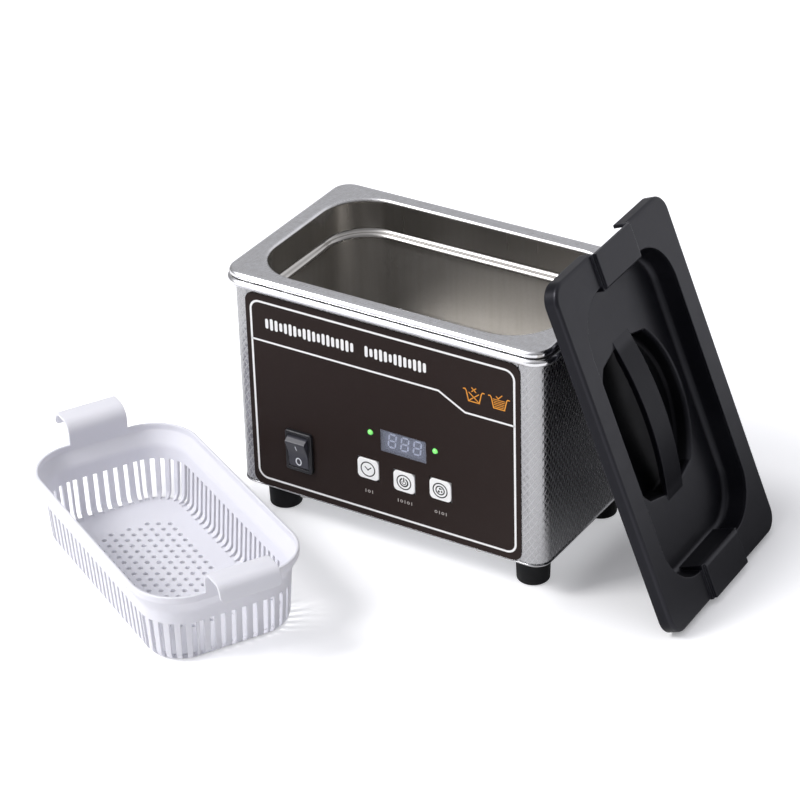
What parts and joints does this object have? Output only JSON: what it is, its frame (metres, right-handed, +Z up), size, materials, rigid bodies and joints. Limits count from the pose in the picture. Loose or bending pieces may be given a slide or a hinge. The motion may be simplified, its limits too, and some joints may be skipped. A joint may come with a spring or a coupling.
{
  "type": "ultrasonic cleaner",
  "caption": "Small bench ultrasonic cleaner: stainless tank in an embossed case with a dark control panel, rocker switch and keys, a loose black lid and a white perforated basket.",
  "frame": {"origin": "centre of the case footprint on the bench plane, where the feet stand", "axes": "+X to the right of the control panel, -Y out of the control panel towards the user, +Z up"},
  "size_m": [0.3308, 0.2479, 0.1717],
  "materials": {
    "stainless_satin": "satin drawn stainless",
    "stainless_embossed": "embossed stainless sheet",
    "zinc_plate": "plain zinc plated sheet",
    "panel_print": "dark brown printed polycarbonate",
    "lid_black": "black satin moulded plastic",
    "basket_white": "white translucent-looking moulded plastic",
    "foot_rubber": "black rubber",
    "screw_steel": "zinc plated screws and nuts",
    "seal_black": "dark sealant",
    "window_smoke": "grey tinted window",
    "digit_module": "dark grey digit block",
    "digit_bars": "pale unlit digit bars",
    "led_green": "green lamp lens",
    "switch_black": "black nylon",
    "rocker_black": "black rocker",
    "key_white": "white key caps",
    "plunger_black": "black plungers",
    "tinned_metal": "tinned or nickel plated metal",
    "tact_body": "tact switch bodies",
    "board_green": "green glass fibre board",
    "post_brass": "brass posts and studs",
    "chip_black": "moulded component bodies",
    "connector_white": "white connector shells",
    "bond_epoxy": "epoxy bond",
    "transducer_alu": "turned aluminium",
    "piezo_ceramic": "silvered piezo ceramic",
    "electrode_brass": "thin brass electrodes",
    "transducer_steel": "turned steel",
    "ferrite": "dark ferrite",
    "winding_copper": "enamelled copper winding",
    "cap_film": "dipped film capacitors",
    "cap_sleeve": "dark blue sleeved capacitors",
    "heatsink_alu": "anodised aluminium",
    "fuse_glass": "glass fuse",
    "inlet_black": "black mains inlet",
    "wire_mains": "insulated mains wires",
    "wire_red": "insulated transducer leads",
    "wire_grey": "grey signal wires"
  },
  "bodies": {
    "cleaner": {"board_screws": "screw_steel", "bottom_plate": "zinc_plate", "bottom_plate_screws": "screw_steel", "case_shell": "stainless_embossed", "control_board": "board_green", "control_board_connector": "connector_white", "control_board_posts": "post_brass", "controller_chip": "chip_black", "display_module": "digit_module", "display_segments": "digit_bars", "display_window": "window_smoke", "driver_board": "board_green", "driver_board_posts": "post_brass", "driver_connectors": "connector_white", "earth_nut": "post_brass", "earth_stud": "post_brass", "electrode_plates": "electrode_brass", "electrolytic_capacitors": "cap_sleeve", "feet": "foot_rubber", "film_capacitors": "cap_film", "foot_screws": "screw_steel", "fuse": "fuse_glass", "fuse_clips": "tinned_metal", "heatsink": "heatsink_alu", "indicator_leds": "led_green", "inlet_pins": "tinned_metal", "inlet_screws": "screw_steel", "inlet_socket": "inlet_black", "led_legs": "tinned_metal", "m3_nuts": "screw_steel", "mains_wires": "wire_mains", "panel_overlay": "panel_print", "piezo_rings": "piezo_ceramic", "power_transistors": "chip_black", "ribbon_cable": "wire_grey", "switch_housing": "switch_black", "switch_pivot_pin": "tinned_metal", "switch_terminals": "tinned_metal", "tact_switches": "tact_body", "tank": "stainless_satin", "tank_seal": "seal_black", "toroid_choke": "winding_copper", "transducer_back_mass": "transducer_steel", "transducer_bolt": "transducer_steel", "transducer_bond": "bond_epoxy", "transducer_front_mass": "transducer_alu", "transducer_leads": "wire_red", "transformer_coil": "winding_copper", "transformer_core": "ferrite", "transistor_screws": "screw_steel"},
    "rocker": {"switch_rocker": "rocker_black"},
    "timer_key": {"key_timer": "key_white", "tact_plunger_timer": "plunger_black"},
    "power_key": {"key_power": "key_white", "tact_plunger_power": "plunger_black"},
    "degas_key": {"key_degas": "key_white", "tact_plunger_degas": "plunger_black"},
    "lid": {"lid": "lid_black"},
    "basket": {"basket": "basket_white"}
  },
  "joints": [
    {"name": "rocker_tilt", "type": "hinge", "parent": "cleaner", "child": "rocker", "pos_m": [-0.0492, -0.05, 0.0449], "axis": [1, 0, 0], "range_deg": [-26, 0]},
    {"name": "timer_key_press", "type": "slide", "parent": "cleaner", "child": "timer_key", "axis": [0, 1, 0], "range_m": [0, 0.0005]},
    {"name": "power_key_press", "type": "slide", "parent": "cleaner", "child": "power_key", "axis": [0, 1, 0], "range_m": [0, 0.0005]},
    {"name": "degas_key_press", "type": "slide", "parent": "cleaner", "child": "degas_key", "axis": [0, 1, 0], "range_m": [0, 0.0005]},
    {"name": "lid_lift", "type": "slide", "parent": "cleaner", "child": "lid", "axis": [0.2, 0, 0.9798], "range_m": [0, 0.09]},
    {"name": "basket_lift", "type": "slide", "parent": "cleaner", "child": "basket", "axis": [0, 0, 1], "range_m": [0, 0.12]}
  ]
}
